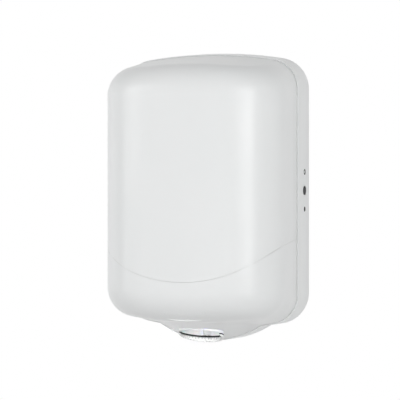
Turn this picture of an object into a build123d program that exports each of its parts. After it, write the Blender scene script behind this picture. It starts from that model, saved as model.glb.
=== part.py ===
from build123d import *
from math import atan2, cos, degrees, pi, radians, sin, sqrt, tan
import os

# Wall-mounted centre-pull roll towel dispenser in white moulded plastic. Millimetres.
# The wall is the plane y = 0, the cover faces -Y, +Z is up, and the origin is the middle of
# the four wall screw holes, level with the key lock.

# Cover form
rim_half_width = 120.0
front_reach = 190.0
corner_radius = 75.0
front_bow_radius = 575.0
crown_rise = 182.0
crown_arch_radius = 552.0
crown_fall_angle = 8.0
crown_fillet = 39.0
base_drop = 185.2
base_arch_radius = 475.0
base_lift_angle = 9.3
base_fillet = 39.5
cover_wall = 2.6
rim_lip_length = 5.0
rim_lip_inset = 1.3
rim_lip_thickness = 1.0

# Outlet dome under the cover: a leaning cylinder that rises to the front
dome_radius = 131.5
dome_drop = 201.4
dome_lean_angle = 17.0
dome_shoulder_drop = 150.0

# Seam between the upper and the lower cover
seam_drop = 113.5
seam_radius = 193.0
seam_climb_angle = 3.2
seam_gap = 0.2
lap_height = 7.0
lap_thickness = 1.8
lap_clearance = 0.3

# Back housing
housing_depth = 50.0
housing_wall = 2.4
back_wall = 3.0
front_step = 1.5
rear_flare = 4.8
parting_gap = 0.35
mouth_rebate_depth = 1.6
wall_screw_pitch_x = 150.0
wall_screw_pitch_z = 210.0
wall_screw_radius = 2.75
rest_rib_offset = 45.0
rest_rib_width = 3.0
rest_rib_reach = 17.0
rest_rib_top = 150.0
rest_rib_bottom = -120.0

# Hinges on the left edge of the parting line
knuckle_radius = 3.4
housing_knuckle_length = 16.0
cover_knuckle_length = 9.0
knuckle_end_gap = 0.4
knuckle_side_gap = 0.5
hinge_pin_radius = 1.5
running_clearance = 0.05
hinge_height = 105.0
hinge_web_length = 6.0

# Roll shelf and its brackets
shelf_radius = 84.0
shelf_centre_reach = 97.0
shelf_thickness = 3.0
shelf_top = -135.0
shelf_hole_radius = 36.0
shelf_bead_width = 2.5
shelf_bead_height = 2.0
bracket_offset = 50.0
bracket_width = 16.0
bracket_gauge = 2.5
bracket_reach = 122.0
bracket_drop = 38.0
bracket_gap = 0.1
boss_radius = 4.5
boss_reach = 12.0
bracket_screw_inset = 9.0
shelf_screw_reach_near = 42.0
shelf_screw_far_inset = 10.0

# Self-tapping screws
screw_shank_radius = 1.6
screw_head_radius = 3.4
screw_head_height = 2.0
screw_length = 8.0
screw_hole_clearance = 0.05
drive_slot_width = 0.9
drive_slot_depth = 0.8

# Screwed joints between the two covers
joint_boss_radius = 4.2
joint_boss_length = 10.0
joint_rise = 13.0
joint_tab_width = 14.0
joint_tab_thickness = 2.6
joint_tab_foot = 12.0
joint_tab_head = 6.0
joint_front_offset = 55.0
joint_side_reach = 82.0

# Key lock in the right side wall
lock_reach = 20.0
lock_flange_radius = 6.0
lock_flange_thickness = 1.2
lock_case_radius = 5.0
lock_case_length = 14.5
lock_seat_radius = 9.5
lock_recess_radius = 6.8
lock_recess_sink = 0.3
lock_hole_clearance = 0.1
lock_nut_radius = 7.6
lock_nut_thickness = 2.8
lock_washer_radius = 7.8
lock_washer_thickness = 0.8
lock_barrel_radius = 3.6
lock_face_sink = 0.3
key_slot_width = 1.2
key_slot_length = 5.2
key_slot_depth = 6.0
cam_thickness = 2.0
cam_width = 9.0
cam_length = 22.0
cam_screw_radius = 1.4
cam_screw_head_radius = 2.8
cam_screw_length = 6.0

# Strike on the cover that the cam holds
strike_gauge = 2.3
strike_stand = 3.1
strike_height = 13.0
strike_low_edge = 10.0
strike_pad_front = 78.0
strike_pad_length = 22.0
strike_hook_reach = 12.0
strike_hook_thickness = 2.5
strike_hook_width = 10.5
strike_screw_spacing = 12.0

# Paper outlet in the dome
outlet_reach = 93.0
outlet_drop = 188.7
outlet_tilt = 14.5
collar_bore = 30.2
collar_radius = 37.0
collar_height = 9.5
funnel_flange_thickness = 2.2
funnel_mouth_radius = 27.4
funnel_throat_radius = 17.0
funnel_height = 27.0
funnel_wall = 1.8
funnel_tube_clearance = 0.15
funnel_slot_width = 12.0
grip_ring_thickness = 1.5
grip_ring_bore = 26.6
tear_ring_bore = 27.9
tear_ring_middle_depth = 2.6
tear_ring_rear_depth = 6.6
half_ring_sweep = 100.0
tooth_count = 40
tooth_notch_width = 2.4
tooth_notch_depth = 1.3
tooth_half_sweep = 97.0
outlet_screw_count = 3
outlet_screw_circle = 33.6
outlet_screw_radius = 1.2
outlet_screw_head_radius = 2.3
outlet_screw_head_height = 1.5
outlet_screw_length = 4.5

# One overrun serves every cutting or trimming solid
overrun = 20.0

# Places that follow from the sizes above
rim_plane = -housing_depth
lip_end = rim_plane + rim_lip_length
hinge_x = -rim_half_width
hinge_y = rim_plane
dome_height_radius = dome_radius / cos(radians(dome_lean_angle))
dome_axis_z = dome_height_radius - dome_drop
crown_slope = tan(radians(crown_fall_angle))
base_slope = tan(radians(base_lift_angle))
seam_slope = tan(radians(seam_climb_angle))
cover_wall_inner = rim_half_width - cover_wall


def save(node, shape):
    """Write one sub-part as parts/NODE.step."""
    export_step(shape, os.path.join("parts", node + ".step"))


def block(x0, x1, y0, y1, z0, z1):
    """Box between two opposite corners."""
    size = Box(x1 - x0, y1 - y0, z1 - z0)
    return Pos((x0 + x1) / 2, (y0 + y1) / 2, (z0 + z1) / 2) * size


def rod(start, along, radius, length):
    """Cylinder from a start point along a direction."""
    return Solid.make_cylinder(radius, length, Plane(origin=start, z_dir=along))


def arch(half, top, arch_radius, fillet_radius, point):
    """Edges of one rounded end of an outline: side point, corner, arch and corner.

    The arch is centred on x = 0 and its highest point is top. The result lists the edges
    from the right side to the left side with the height where the sides begin.
    """
    arch_centre = top - arch_radius
    corner_x = half - fillet_radius
    corner_h = arch_centre + sqrt((arch_radius - fillet_radius) ** 2 - corner_x ** 2)
    turn = atan2(corner_h - arch_centre, corner_x)
    meet = (arch_radius * cos(turn), arch_centre + arch_radius * sin(turn))
    middle = (corner_x + fillet_radius * cos(turn / 2), corner_h + fillet_radius * sin(turn / 2))
    right = Edge.make_three_point_arc(point(half, corner_h), point(*middle), point(*meet))
    centre = Edge.make_three_point_arc(point(*meet), point(0, top), point(-meet[0], meet[1]))
    left = Edge.make_three_point_arc(
        point(-meet[0], meet[1]), point(-middle[0], middle[1]), point(-half, corner_h)
    )
    return [right, centre, left], corner_h


def cover_plan(inset, z):
    """The cover's plan at one height: straight sides, round corners and a bowed front."""
    def point(x, h):
        return (x, -h, z)

    half = rim_half_width - inset
    edges, side_start = arch(
        half, front_reach - inset, front_bow_radius - inset, corner_radius - inset, point
    )
    rear = -lip_end - overrun
    right_side = Edge.make_line(point(half, rear), point(half, side_start))
    left_side = Edge.make_line(point(-half, side_start), point(-half, rear))
    back = Edge.make_line(point(-half, rear), point(half, rear))
    return Face(Wire([right_side, *edges, left_side, back]))


def arched_limit(height, arch_radius, slope, direction):
    """Solid on the inner side of an arched surface that slopes along Y.

    direction is 1 for the crown, which the cover lies under, and -1 for the base.
    """
    half = rim_half_width + overrun
    rear = lip_end + overrun
    lift = slope * (rear - rim_plane)
    crown = height + lift
    edge_height = crown - arch_radius + sqrt(arch_radius ** 2 - half ** 2)

    def point(x, h):
        return (x, rear, direction * h)

    top = Edge.make_three_point_arc(
        point(half, edge_height), point(0, crown), point(-half, edge_height)
    )
    far = -height - overrun
    left = Edge.make_line(point(-half, edge_height), point(-half, far))
    floor = Edge.make_line(point(-half, far), point(half, far))
    right = Edge.make_line(point(half, far), point(half, edge_height))
    reach = front_reach + rear + overrun
    sweep = Vector(0, -reach, -direction * slope * reach)
    return Solid.extrude(Face(Wire([top, left, floor, right])), sweep)


def leaning_dome(inset):
    """The dome's leaning cylinder, kept below the cover's lower shoulder."""
    lean = radians(dome_lean_angle)
    along = (0, -cos(lean), sin(lean))
    start_y = rim_plane + (rim_lip_length + overrun) * 2
    start_z = dome_axis_z - (start_y - rim_plane) * tan(lean)
    cylinder = rod((0, start_y, start_z), along, dome_radius - inset, front_reach * 2)
    shoulder = -dome_shoulder_drop
    keep = block(
        -rim_half_width, rim_half_width,
        -front_reach + base_fillet / 2, lip_end + overrun,
        -dome_drop * 2, shoulder,
    )
    return cylinder & keep


def cover_form(inset):
    """Solid shape of the whole cover, its surface moved inwards by inset."""
    tall = crown_rise + base_drop + 2 * overrun
    form = Solid.extrude(cover_plan(inset, -base_drop - overrun), Vector(0, 0, tall))
    form = form & arched_limit(crown_rise - inset, crown_arch_radius - inset, crown_slope, 1)
    form = form & arched_limit(base_drop - inset, base_arch_radius - inset, base_slope, -1)
    rear = lip_end + overrun
    for end, radius in ((-1, crown_fillet - inset), (0, base_fillet - inset)):
        cap = form.faces().sort_by(Axis.Z)[end]
        rounded = [edge for edge in cap.edges() if edge.center().Y < rear - overrun / 2]
        form = form.fillet(radius, rounded)
    return form + leaning_dome(inset)


def rim_outline(offset, y):
    """The rounded part of the rim seen from the front, moved outwards by offset."""
    def above(x, h):
        return (x, y, h)

    def under(x, h):
        return (x, y, -h)

    half = rim_half_width + offset
    top, top_side = arch(
        half, crown_rise + offset, crown_arch_radius + offset, crown_fillet + offset, above
    )
    low, low_side = arch(
        half, base_drop + offset, base_arch_radius + offset, base_fillet + offset, under
    )
    right = Edge.make_line(under(half, low_side), above(half, top_side))
    left = Edge.make_line(above(-half, top_side), under(-half, low_side))
    return Wire([right, *top, left, *low])


def dome_outline(offset, y):
    """The dome's part of the rim, a tall ellipse of which the bottom shows."""
    plane = Plane(origin=(0, y, dome_axis_z), x_dir=(1, 0, 0), z_dir=(0, -1, 0))
    return Wire([Edge.make_ellipse(dome_radius + offset, dome_height_radius + offset, plane)])


def rim_form(front, rear, front_offset, rear_offset):
    """Solid of the rim's outline between two depths, each with its own offset outwards."""
    ends = ((rear_offset, rear), (front_offset, front))
    body = Solid.make_loft([rim_outline(*end) for end in ends], ruled=True)
    bulge = Solid.make_loft([dome_outline(*end) for end in ends], ruled=True)
    half = rim_half_width
    keep = block(-half, half, front, rear, -dome_drop * 2, -dome_shoulder_drop)
    return body + (bulge & keep)


def ahead_of(y):
    """Everything in front of the plane at y, as a box."""
    half = rim_half_width + overrun
    return block(-half, half, -front_reach - overrun, y, -dome_drop * 2, crown_rise * 2)


def below_seam(raise_by):
    """Everything under the curved seam surface, moved up by raise_by."""
    half = rim_half_width + overrun
    rear = lip_end + overrun
    low = -seam_drop + raise_by + seam_slope * (rear + front_reach)
    edge_height = low + seam_radius - sqrt(seam_radius ** 2 - half ** 2)

    def point(x, z):
        return (x, rear, z)

    seam = Edge.make_three_point_arc(
        point(-half, edge_height), point(0, low), point(half, edge_height)
    )
    far = -dome_drop - overrun
    right = Edge.make_line(point(half, edge_height), point(half, far))
    floor = Edge.make_line(point(half, far), point(-half, far))
    left = Edge.make_line(point(-half, far), point(-half, edge_height))
    reach = rear + front_reach + overrun
    return Solid.extrude(
        Face(Wire([seam, right, floor, left])), Vector(0, -reach, -seam_slope * reach)
    )


def seam_height(x, y):
    """Height of the seam surface at a place in plan."""
    return -seam_drop + seam_radius - sqrt(seam_radius ** 2 - x ** 2) + seam_slope * (y + front_reach)


def screw(start, along, length, shank=screw_shank_radius, head=screw_head_radius,
          head_height=screw_head_height):
    """Pan-head screw whose head stands on start and whose shank runs along."""
    back = Vector(*along) * -1
    shape = rod(start, along, shank, length) + rod(start, back, head, head_height)
    top = Plane(origin=Vector(*start) + back * head_height, z_dir=back)
    for turn in (0, 90):
        slot = Box(head, drive_slot_width, drive_slot_depth * 2)
        shape = shape - top * Rot(0, 0, turn) * slot
    return shape


outer = cover_form(0)
inner = cover_form(cover_wall)
half_wall = cover_form(cover_wall / 2)
front_of_parting = ahead_of(rim_plane - parting_gap)


def cover_shell():
    """The whole cover as one wall, with the thin lip that enters the housing."""
    wall = (outer - inner) & front_of_parting
    root = rim_plane - cover_wall
    bore = rim_lip_inset + rim_lip_thickness
    lip = rim_form(root, lip_end, -rim_lip_inset, -rim_lip_inset) - rim_form(
        root - overrun, lip_end + overrun, -bore, -bore
    )
    return wall + lip


# Hinge places: each hinge has a housing knuckle between two cover knuckles
hinge_span = housing_knuckle_length + 2 * (knuckle_end_gap + cover_knuckle_length)
hinge_heights = (hinge_height, -hinge_height + seam_gap)


def knuckle(z0, length, radius):
    """Cylinder on the hinge axis."""
    return rod((hinge_x, hinge_y, z0), (0, 0, 1), radius, length)


def housing_knuckle_start(z):
    return z - housing_knuckle_length / 2


def cover_knuckle_starts(z):
    offset = housing_knuckle_length / 2 + knuckle_end_gap
    return (z + offset, z - offset - cover_knuckle_length)


def add_cover_knuckles(shell, heights):
    """Join knuckles to a cover shell and clear room for the housing's knuckles."""
    gap = knuckle_radius + knuckle_side_gap
    for z in heights:
        room_low = housing_knuckle_start(z) - knuckle_end_gap
        room_length = housing_knuckle_length + 2 * knuckle_end_gap
        room = block(
            hinge_x - gap, hinge_x + gap, hinge_y - gap, lip_end + overrun,
            room_low, room_low + room_length,
        )
        shell = shell - room
        for start in cover_knuckle_starts(z):
            shell = shell + knuckle(start, cover_knuckle_length, knuckle_radius)
        shell = shell - knuckle(
            z - hinge_span / 2 - overrun / 4, hinge_span + overrun / 2,
            hinge_pin_radius + running_clearance,
        )
    return shell


# Screwed joints between the covers, each drawn in a frame whose +Y is the inward normal
def front_wall_y(x):
    """Inner surface of the bowed front wall."""
    radius = front_bow_radius - cover_wall
    return -front_reach + front_bow_radius - sqrt(radius ** 2 - x ** 2)


def joint_frames():
    """Frames on the cover's inner wall at the height of the seam."""
    frames = []
    for side in (1, -1):
        x = side * joint_front_offset
        y = front_wall_y(x)
        frames.append(Pos(x, y, seam_height(x, y)))
        wall_x = side * cover_wall_inner
        height = seam_height(wall_x, -joint_side_reach)
        frames.append(Pos(wall_x, -joint_side_reach, height) * Rot(0, 0, side * 90))
    return frames


def joint_boss():
    reach = joint_boss_length + cover_wall / 2
    boss = rod((0, -cover_wall / 2, joint_rise), (0, 1, 0), joint_boss_radius, reach)
    hole = rod(
        (0, joint_boss_length - screw_length, joint_rise), (0, 1, 0),
        screw_shank_radius + screw_hole_clearance, screw_length + overrun,
    )
    return boss, hole


def joint_tab():
    """Foot on the lower cover's wall and an upright tab that meets the boss's end."""
    half = joint_tab_width / 2
    near = joint_boss_length + bracket_gap
    far = near + joint_tab_thickness
    foot = block(-half, half, -cover_wall / 2, far, -joint_tab_foot, -joint_tab_foot + joint_tab_thickness)
    tab = block(-half, half, near, far, -joint_tab_foot, joint_rise + joint_tab_head)
    hole = rod(
        (0, near - overrun / 4, joint_rise), (0, 1, 0),
        screw_shank_radius + 2 * screw_hole_clearance, overrun,
    )
    return foot + tab, hole


def make_covers():
    shell = cover_shell()
    lower = shell & below_seam(-seam_gap / 2)
    upper = shell - below_seam(seam_gap / 2)

    lap_outer = cover_form(cover_wall + lap_clearance)
    lap_inner = cover_form(cover_wall + lap_clearance + lap_thickness)
    lap_band = (lap_outer - lap_inner) & (below_seam(lap_height) - below_seam(-lap_height))
    root = (half_wall - lap_inner) & (below_seam(-lap_height / 2) - below_seam(-lap_height))
    in_cover = ahead_of(rim_plane - cover_wall - lap_clearance)
    lower = lower + ((lap_band + root) & in_cover)

    lower = add_collar(lower)
    for frame in joint_frames():
        boss, boss_hole = joint_boss()
        tab, tab_hole = joint_tab()
        lap_room = rod(
            (0, 0, joint_rise), (0, 1, 0), joint_boss_radius + lap_clearance, joint_boss_length
        )
        upper = upper + ((frame * boss) & half_wall) - frame * boss_hole
        lower = lower - frame * lap_room
        lower = lower + ((frame * tab) & half_wall) - frame * tab_hole
    upper = add_cover_knuckles(upper, hinge_heights[:1])
    lower = add_cover_knuckles(lower, hinge_heights[1:])
    upper = upper - strike_screw_holes()
    return upper, lower


def make_cover_screws():
    start = (0, joint_boss_length + bracket_gap + joint_tab_thickness, joint_rise)
    return [frame * screw(start, (0, -1, 0), screw_length) for frame in joint_frames()]


# Outlet frame: local +Z points up the outlet's axis, local +Y leans to the wall
outlet_frame = Pos(0, -outlet_reach, -outlet_drop) * Rot(-outlet_tilt, 0, 0)
grip_half = grip_ring_thickness / 2


def tube(r_out, r_in, low, high):
    """Upright tube on the outlet's own axis."""
    body = rod((0, 0, low), (0, 0, 1), r_out, high - low)
    bore = rod((0, 0, low - overrun), (0, 0, 1), r_in, high - low + 2 * overrun)
    return body - bore


def outlet_screw_places():
    step = 2 * pi / outlet_screw_count
    return [
        (outlet_screw_circle * cos(pi / 2 + k * step), outlet_screw_circle * sin(pi / 2 + k * step))
        for k in range(outlet_screw_count)
    ]


def add_collar(lower):
    """Thick ring inside the dome that seats the funnel and holds the tear ring."""
    ring = outlet_frame * tube(collar_radius, collar_bore, -collar_radius, collar_height)
    lower = lower + (ring & half_wall)
    bore = rod((0, 0, -collar_radius), (0, 0, 1), collar_bore, collar_radius * 2)
    lower = lower - outlet_frame * bore
    for x, y in outlet_screw_places():
        pilot = rod(
            (x, y, collar_height - outlet_screw_length), (0, 0, 1),
            outlet_screw_radius + screw_hole_clearance, overrun,
        )
        lower = lower - outlet_frame * pilot
    return lower


def make_outlet_funnel():
    flange_top = collar_height + funnel_flange_thickness
    flange = tube(collar_radius, funnel_mouth_radius, collar_height, flange_top)
    neck = tube(collar_bore - funnel_tube_clearance, funnel_mouth_radius, grip_half, flange_top)
    rise = funnel_height - flange_top
    cone_plane = Plane(origin=(0, 0, flange_top), z_dir=(0, 0, 1))
    skin = Solid.make_cone(
        funnel_mouth_radius + funnel_wall, funnel_throat_radius + funnel_wall, rise, cone_plane
    )
    hollow = Solid.make_cone(funnel_mouth_radius, funnel_throat_radius, rise, cone_plane)
    slot = block(
        -funnel_slot_width / 2, funnel_slot_width / 2, 0, collar_radius, 0, collar_height
    )
    body = flange + (neck - slot) + (skin - hollow)
    for x, y in outlet_screw_places():
        body = body - rod(
            (x, y, 0), (0, 0, 1), outlet_screw_radius + 2 * screw_hole_clearance, funnel_height
        )
    return outlet_frame * body


def make_outlet_screws():
    top = collar_height + funnel_flange_thickness
    return [
        outlet_frame * screw(
            (x, y, top), (0, 0, -1), outlet_screw_length,
            outlet_screw_radius, outlet_screw_head_radius, outlet_screw_head_height,
        )
        for x, y in outlet_screw_places()
    ]


def rear_sector():
    """Wedge about the outlet's axis that holds the half rings' sweep, open to the front."""
    reach = 2 * collar_radius
    turn = radians(half_ring_sweep)
    side = (reach * sin(turn), reach * cos(turn))
    corners = [(0, 0), side, (reach, reach), (-reach, reach), (-side[0], side[1])]
    wedge = make_face(Polyline(*corners, close=True))
    return extrude(wedge, collar_radius, both=True)


def make_grip_ring():
    """Soft half ring at the back of the outlet."""
    radius = collar_bore - funnel_tube_clearance
    ring = tube(radius, grip_ring_bore, -grip_half, grip_half)
    return outlet_frame * (ring & rear_sector())


def make_tear_ring():
    """Half ring cut on a slant, deep at the back, with notches that tear the paper."""
    radius = collar_bore - funnel_tube_clearance
    deep = grip_half + tear_ring_rear_depth
    ring = tube(radius, tear_ring_bore, -deep, -grip_half)
    slant = atan2(tear_ring_rear_depth - tear_ring_middle_depth, radius)
    middle_depth = grip_half + tear_ring_middle_depth
    side = 4 * radius
    under = Pos(0, 0, -middle_depth) * Rot(-degrees(slant), 0, 0) * Pos(0, 0, -side / 2)
    ring = (ring - under * Box(side, side, side)) & rear_sector()
    step = 2 * pi / tooth_count
    reach = radius + tooth_notch_width
    for k in range(tooth_count):
        turn = k * step
        if abs(degrees(turn) - 180) < 180 - tooth_half_sweep:
            continue
        height = -middle_depth - radius * cos(turn) * tan(slant)
        half = tooth_notch_width / 2
        corners = [(-half, -half), (half, -half), (0, tooth_notch_depth)]
        notch = extrude(Plane.XZ * make_face(Polyline(*corners, close=True)), -reach)
        ring = ring - Pos(0, 0, height) * Rot(0, 0, -degrees(turn)) * notch
    return outlet_frame * ring


# Back housing
def housing_offset(y):
    """How far the housing's outer face stands out from the cover's rim at a depth."""
    span = housing_depth - parting_gap
    return front_step + (rear_flare - front_step) * (y + span) / span


def lock_axis_point(x):
    return (x, -lock_reach, 0)


lock_seat_x = rim_half_width + housing_offset(-lock_reach - lock_recess_radius) - lock_recess_sink
lock_inner_seat_x = lock_seat_x - 2 * housing_wall
nut_face_x = lock_inner_seat_x - lock_washer_thickness


def bracket_screw_places():
    shelf_under = shelf_top - shelf_thickness
    low = shelf_under - bracket_drop + bracket_screw_inset
    high = shelf_under - bracket_screw_inset - bracket_gauge
    return [(side * bracket_offset, z) for side in (1, -1) for z in (high, low)]


def make_back_housing():
    front = parting_gap - housing_depth
    shell = rim_form(front, 0, front_step, rear_flare)
    open_front = front - overrun
    shell = shell - rim_form(
        open_front, -back_wall,
        housing_offset(open_front) - housing_wall, housing_offset(-back_wall) - housing_wall,
    )
    shell = shell - rim_form(open_front, front + mouth_rebate_depth, 0, 0)
    for side in (1, -1):
        x = side * rest_rib_offset
        half = rest_rib_width / 2
        rib = block(x - half, x + half, -rest_rib_reach, -back_wall / 2, rest_rib_bottom, rest_rib_top)
        shell = shell + rib
        for level in (1, -1):
            hole_place = (side * wall_screw_pitch_x / 2, overrun, level * wall_screw_pitch_z / 2)
            shell = shell - rod(hole_place, (0, -1, 0), wall_screw_radius, overrun * 2)
    for x, z in bracket_screw_places():
        shell = shell + rod((x, -back_wall / 2, z), (0, -1, 0), boss_radius, boss_reach - back_wall / 2)
        depth = screw_length + back_wall
        start = (x, -boss_reach + screw_length, z)
        shell = shell - rod(start, (0, -1, 0), screw_shank_radius + screw_hole_clearance, depth)

    seat = rod(lock_axis_point(lock_inner_seat_x), (1, 0, 0), lock_seat_radius, 1.5 * housing_wall)
    recess = rod(lock_axis_point(lock_seat_x), (1, 0, 0), lock_recess_radius, overrun)
    bore = rod(
        lock_axis_point(lock_seat_x - overrun), (1, 0, 0),
        lock_case_radius + lock_hole_clearance, overrun * 2,
    )
    shell = shell + seat - recess - bore

    room = knuckle_radius + knuckle_side_gap
    for z in hinge_heights:
        for start in cover_knuckle_starts(z):
            shell = shell - knuckle(
                start - knuckle_end_gap, cover_knuckle_length + 2 * knuckle_end_gap, room
            )
        low = housing_knuckle_start(z)
        body = knuckle(low, housing_knuckle_length, knuckle_radius)
        web_inner = hinge_x - front_step + housing_wall
        web = block(
            hinge_x - front_step, web_inner, hinge_y, hinge_y + knuckle_radius + hinge_web_length,
            low, low + housing_knuckle_length,
        )
        shell = shell + body + web
        shell = shell - knuckle(low - overrun, housing_knuckle_length + 2 * overrun, hinge_pin_radius)
    return shell


def make_hinge_pins():
    return [
        knuckle(z - hinge_span / 2, hinge_span, hinge_pin_radius)
        for z in hinge_heights
    ]


# Roll shelf, brackets and their screws
def shelf_screw_places():
    reaches = (shelf_screw_reach_near, bracket_reach - shelf_screw_far_inset)
    return [(side * bracket_offset, -reach) for side in (1, -1) for reach in reaches]


def make_roll_shelf():
    low = shelf_top - shelf_thickness
    plate = rod((0, -shelf_centre_reach, low), (0, 0, 1), shelf_radius, shelf_thickness)
    bead_radius = shelf_hole_radius + shelf_bead_width
    bead = rod(
        (0, -shelf_centre_reach, low), (0, 0, 1), bead_radius, shelf_thickness + shelf_bead_height
    )
    rear_tab = block(
        -bracket_offset - bracket_width / 2, bracket_offset + bracket_width / 2,
        -shelf_centre_reach, -rest_rib_reach - bracket_gauge, low, shelf_top,
    )
    hole = rod((0, -shelf_centre_reach, low - overrun), (0, 0, 1), shelf_hole_radius, overrun * 2)
    shelf = plate + bead + rear_tab - hole
    for x, y in shelf_screw_places():
        shelf = shelf - rod(
            (x, y, low - overrun), (0, 0, 1), screw_shank_radius + screw_hole_clearance, overrun * 2
        )
    return shelf


def make_shelf_bracket(side):
    top = shelf_top - shelf_thickness - bracket_gap
    bottom = top - bracket_drop
    x = side * bracket_offset
    half = bracket_width / 2
    back = -boss_reach - bracket_gap
    plate = block(x - half, x + half, back - bracket_gauge, back, bottom, top)
    arm = block(x - half, x + half, -bracket_reach, back, top - bracket_gauge, top)
    corners = [(back, bottom), (back, top), (-bracket_reach, top), (-bracket_reach, top - bracket_gauge)]
    gusset = extrude(Plane.YZ * make_face(Polyline(*corners, close=True)), bracket_gauge / 2, both=True)
    bracket = plate + arm + Pos(x - side * (half - bracket_gauge / 2), 0, 0) * gusset
    for sx, sz in bracket_screw_places():
        bracket = bracket - rod(
            (sx, back + overrun, sz), (0, -1, 0), screw_shank_radius + 2 * screw_hole_clearance,
            overrun * 2,
        )
    for sx, sy in shelf_screw_places():
        bracket = bracket - rod(
            (sx, sy, top - overrun), (0, 0, 1), screw_shank_radius + 2 * screw_hole_clearance,
            overrun * 2,
        )
    return bracket


def make_bracket_screws():
    y = -boss_reach - bracket_gap - bracket_gauge
    return [screw((x, y, z), (0, 1, 0), screw_length) for x, z in bracket_screw_places()]


def make_shelf_screws():
    z = shelf_top - shelf_thickness - bracket_gap - bracket_gauge
    length = bracket_gauge + bracket_gap + shelf_thickness
    return [screw((x, y, z), (0, 0, 1), length) for x, y in shelf_screw_places()]


# Key lock
case_end_x = lock_seat_x - lock_case_length
barrel_clearance = running_clearance
cam_face_x = case_end_x - barrel_clearance


def make_lock_case():
    body = rod(lock_axis_point(case_end_x), (1, 0, 0), lock_case_radius, lock_case_length)
    flange = rod(lock_axis_point(lock_seat_x), (1, 0, 0), lock_flange_radius, lock_flange_thickness)
    bore = rod(
        lock_axis_point(case_end_x - overrun), (1, 0, 0),
        lock_barrel_radius + barrel_clearance, lock_case_length + overrun * 2,
    )
    return body + flange - bore


def make_lock_barrel():
    end = lock_seat_x + lock_flange_thickness - lock_face_sink
    barrel = rod(lock_axis_point(cam_face_x), (1, 0, 0), lock_barrel_radius, end - cam_face_x)
    slot = block(
        end - key_slot_depth, end + overrun,
        -lock_reach - key_slot_width / 2, -lock_reach + key_slot_width / 2,
        -key_slot_length / 2, key_slot_length / 2,
    )
    tapped = rod(
        lock_axis_point(cam_face_x), (1, 0, 0),
        cam_screw_radius + screw_hole_clearance, cam_screw_length,
    )
    return barrel - slot - tapped


def make_lock_nut():
    side = Plane(origin=lock_axis_point(nut_face_x), z_dir=(-1, 0, 0))
    body = extrude(side * RegularPolygon(lock_nut_radius, 6), lock_nut_thickness)
    return body - rod(
        lock_axis_point(nut_face_x - overrun), (1, 0, 0),
        lock_case_radius + screw_hole_clearance, overrun * 2,
    )


def make_lock_washer():
    body = rod(
        lock_axis_point(nut_face_x), (1, 0, 0), lock_washer_radius, lock_washer_thickness
    )
    return body - rod(
        lock_axis_point(nut_face_x - overrun), (1, 0, 0),
        lock_case_radius + screw_hole_clearance, overrun * 2,
    )


def make_lock_cam():
    """Flat arm on the barrel's end. At rest it points to the front, clear of the strike."""
    low_x = cam_face_x - cam_thickness
    half = cam_width / 2
    hub = rod(lock_axis_point(low_x), (1, 0, 0), half, cam_thickness)
    arm = block(low_x, cam_face_x, -lock_reach - cam_length, -lock_reach, -half, half)
    hole = rod(
        lock_axis_point(low_x - overrun), (1, 0, 0), cam_screw_radius + screw_hole_clearance,
        overrun * 2,
    )
    return hub + arm - hole


def make_cam_screw():
    return screw(
        lock_axis_point(cam_face_x - cam_thickness), (1, 0, 0), cam_screw_length,
        cam_screw_radius, cam_screw_head_radius, cam_thickness,
    )


# Strike on the upper cover's right wall
strike_outer_x = cover_wall_inner - bracket_gap
strike_inner_x = strike_outer_x - strike_stand - strike_gauge
strike_middle_z = strike_low_edge + strike_height / 2


def strike_screw_places():
    middle = -strike_pad_front + strike_pad_length / 2
    half = strike_screw_spacing / 2
    return [(middle - half, strike_middle_z), (middle + half, strike_middle_z)]


def strike_screw_holes():
    """Pilot holes for the strike's screws, which stop inside the cover's wall."""
    holes = None
    for y, z in strike_screw_places():
        start = (strike_outer_x - overrun, y, z)
        length = overrun + bracket_gap + cover_wall / 2
        hole = rod(start, (1, 0, 0), screw_shank_radius + screw_hole_clearance, length)
        holes = hole if holes is None else holes + hole
    return holes


def make_strike_plate():
    high = strike_low_edge + strike_height
    pad_end = -strike_pad_front + strike_pad_length
    pad = block(strike_inner_x, strike_outer_x, -strike_pad_front, pad_end, strike_low_edge, high)
    arm = block(
        strike_inner_x, strike_inner_x + strike_gauge,
        -strike_pad_front, -strike_hook_reach, strike_low_edge, high,
    )
    hook = block(
        strike_inner_x - strike_hook_width, strike_inner_x + strike_gauge,
        -strike_hook_reach - strike_hook_thickness, -strike_hook_reach, strike_low_edge, high,
    )
    plate = pad + arm + hook
    for y, z in strike_screw_places():
        plate = plate - rod(
            (strike_inner_x - overrun, y, z), (1, 0, 0),
            screw_shank_radius + screw_hole_clearance, overrun * 2,
        )
    return plate


def make_strike_screws():
    length = strike_stand + strike_gauge + bracket_gap + cover_wall / 2 - running_clearance
    return [screw((strike_inner_x, y, z), (1, 0, 0), length) for y, z in strike_screw_places()]


def main():
    os.makedirs("parts", exist_ok=True)
    upper, lower = make_covers()
    save("upper_cover", upper)
    save("lower_cover", lower)
    save("back_housing", make_back_housing())
    save("hinge_pins", Compound(make_hinge_pins()))
    save("cover_screws", Compound(make_cover_screws()))
    save("outlet_funnel", make_outlet_funnel())
    save("grip_ring", make_grip_ring())
    save("tear_ring", make_tear_ring())
    save("outlet_screws", Compound(make_outlet_screws()))
    save("roll_shelf", make_roll_shelf())
    save("left_shelf_bracket", make_shelf_bracket(-1))
    save("right_shelf_bracket", make_shelf_bracket(1))
    save("bracket_screws", Compound(make_bracket_screws()))
    save("shelf_screws", Compound(make_shelf_screws()))
    save("lock_case", make_lock_case())
    save("lock_barrel", make_lock_barrel())
    save("lock_nut", make_lock_nut())
    save("lock_washer", make_lock_washer())
    save("lock_cam", make_lock_cam())
    save("cam_screw", make_cam_screw())
    save("strike_plate", make_strike_plate())
    save("strike_screws", Compound(make_strike_screws()))


main()
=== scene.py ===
from math import cos, pi, radians, sin

import bmesh
import bpy
import numpy as np
from mathutils import Matrix, Vector
from mathutils.bvhtree import BVHTree


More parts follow.
